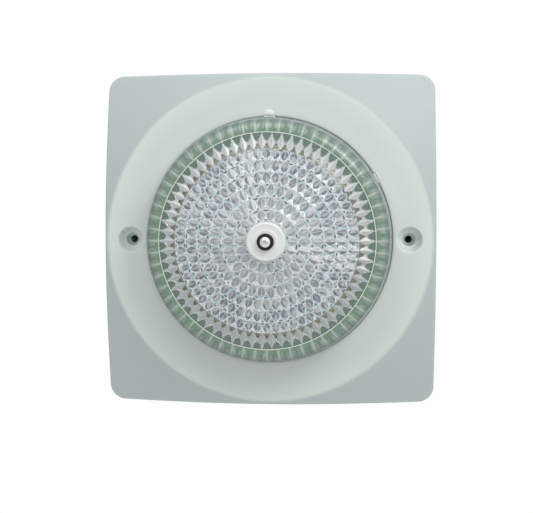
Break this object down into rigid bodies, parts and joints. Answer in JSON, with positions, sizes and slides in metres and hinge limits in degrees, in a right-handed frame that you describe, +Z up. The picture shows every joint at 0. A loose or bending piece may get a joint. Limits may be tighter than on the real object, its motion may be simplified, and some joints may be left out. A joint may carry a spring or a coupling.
{
  "type": "horn strobe",
  "caption": "Wall-mounted alarm horn strobe: square frosted cover, round prismatic lens over an LED column, piezo sounder behind side slots, and a wall bracket.",
  "frame": {"origin": "centre of the wall bracket's back face, which lies on the wall", "axes": "+Y into the wall, +Z up, +X to the right as seen from the room; the lens faces -Y"},
  "size_m": [0.14, 0.0688, 0.14],
  "materials": {
    "frosted_white": "frosted",
    "clear_lens": "moulded clear polycarbonate",
    "housing_grey": "satin",
    "zinc_steel": "zinc plated",
    "bright_steel": "polished",
    "aluminium": "satin",
    "mirror": "bright",
    "brass": "satin",
    "board_green": "solder mask",
    "led_board_white": "white solder mask",
    "rubber": "matt",
    "black_plastic": "satin",
    "terminal_green": "satin",
    "switch_red": "satin",
    "white_nylon": "satin",
    "trimmer_blue": "satin"
  },
  "bodies": {
    "bracket": {"wall_bracket": "zinc_steel", "cable_grommet": "rubber"},
    "unit": {"board_link": "black_plastic", "board_pillar_1": "brass", "board_pillar_2": "brass", "board_pillar_3": "brass", "board_pillar_4": "brass", "capacitor_1": "aluminium", "capacitor_2": "aluminium", "centre_post": "white_nylon", "controller_chip": "black_plastic", "driver_chip": "black_plastic", "front_cover": "frosted_white", "housing_screw_1": "zinc_steel", "housing_screw_2": "zinc_steel", "housing_screw_3": "zinc_steel", "housing_screw_4": "zinc_steel", "housing_seal": "rubber", "inductor": "brass", "led_board": "board_green", "led_board_screw_1": "zinc_steel", "led_board_screw_2": "zinc_steel", "led_board_screw_3": "zinc_steel", "led_board_screw_4": "zinc_steel", "led_column": "aluminium", "led_strip_1": "led_board_white", "led_strip_2": "led_board_white", "led_strip_3": "led_board_white", "led_strip_4": "led_board_white", "led_strip_5": "led_board_white", "led_strip_6": "led_board_white", "lens_seal": "rubber", "main_board": "board_green", "mirror_plate": "mirror", "rear_housing": "housing_grey", "reset_switch": "zinc_steel", "setting_switch": "switch_red", "sound_horn": "black_plastic", "sounder_case": "black_plastic", "sounder_disc": "brass", "terminal_block": "terminal_green", "volume_trimmer": "trimmer_blue"},
    "lens": {"lens": "clear_lens", "centre_washer": "black_plastic", "centre_screw": "bright_steel"},
    "setting_slider_1": {"setting_slider_1": "white_nylon"},
    "setting_slider_2": {"setting_slider_2": "white_nylon"},
    "setting_slider_3": {"setting_slider_3": "white_nylon"},
    "setting_slider_4": {"setting_slider_4": "white_nylon"},
    "reset_button": {"reset_button": "black_plastic"},
    "trimmer_rotor": {"trimmer_rotor": "white_nylon"},
    "terminal_screw_1": {"terminal_screw_1": "zinc_steel"},
    "wire_clamp_1": {"wire_clamp_1": "brass"},
    "terminal_screw_2": {"terminal_screw_2": "zinc_steel"},
    "wire_clamp_2": {"wire_clamp_2": "brass"}
  },
  "joints": [
    {"name": "unit_lift_off", "type": "slide", "parent": "bracket", "child": "unit", "axis": [0, -1, 0], "range_m": [0, 0.05]},
    {"name": "lens_lift_off", "type": "slide", "parent": "unit", "child": "lens", "axis": [0, -1, 0], "range_m": [0, 0.05]},
    {"name": "setting_slide_1", "type": "slide", "parent": "unit", "child": "setting_slider_1", "axis": [1, 0, 0], "range_m": [0, 0.0016]},
    {"name": "setting_slide_2", "type": "slide", "parent": "unit", "child": "setting_slider_2", "axis": [1, 0, 0], "range_m": [0, 0.0016]},
    {"name": "setting_slide_3", "type": "slide", "parent": "unit", "child": "setting_slider_3", "axis": [1, 0, 0], "range_m": [0, 0.0016]},
    {"name": "setting_slide_4", "type": "slide", "parent": "unit", "child": "setting_slider_4", "axis": [1, 0, 0], "range_m": [0, 0.0016]},
    {"name": "reset_press", "type": "slide", "parent": "unit", "child": "reset_button", "axis": [0, -1, 0], "range_m": [0, 0.0003], "stiffness_N_per_m": 300},
    {"name": "volume_turn", "type": "hinge", "parent": "unit", "child": "trimmer_rotor", "pos_m": [0, -0.0102, -0.008], "axis": [0, 1, 0], "range_deg": [-135, 135]},
    {"name": "clamp_slide_1", "type": "slide", "parent": "unit", "child": "wire_clamp_1", "axis": [0, -1, 0], "range_m": [0, 0.0025]},
    {"name": "terminal_turn_1", "type": "hinge", "parent": "unit", "child": "terminal_screw_1", "pos_m": [-0.00375, -0.0055, -0.0345], "axis": [0, -1, 0], "range_deg": [0, 1800]},
    {"name": "clamp_slide_2", "type": "slide", "parent": "unit", "child": "wire_clamp_2", "axis": [0, -1, 0], "range_m": [0, 0.0025]},
    {"name": "terminal_turn_2", "type": "hinge", "parent": "unit", "child": "terminal_screw_2", "pos_m": [0.00375, -0.0055, -0.0345], "axis": [0, -1, 0], "range_deg": [0, 1800]}
  ],
  "couplings": [
    {"joint": "terminal_turn_1", "follows": "clamp_slide_1", "rad_per_m": 12566},
    {"joint": "terminal_turn_2", "follows": "clamp_slide_2", "rad_per_m": 12566}
  ]
}
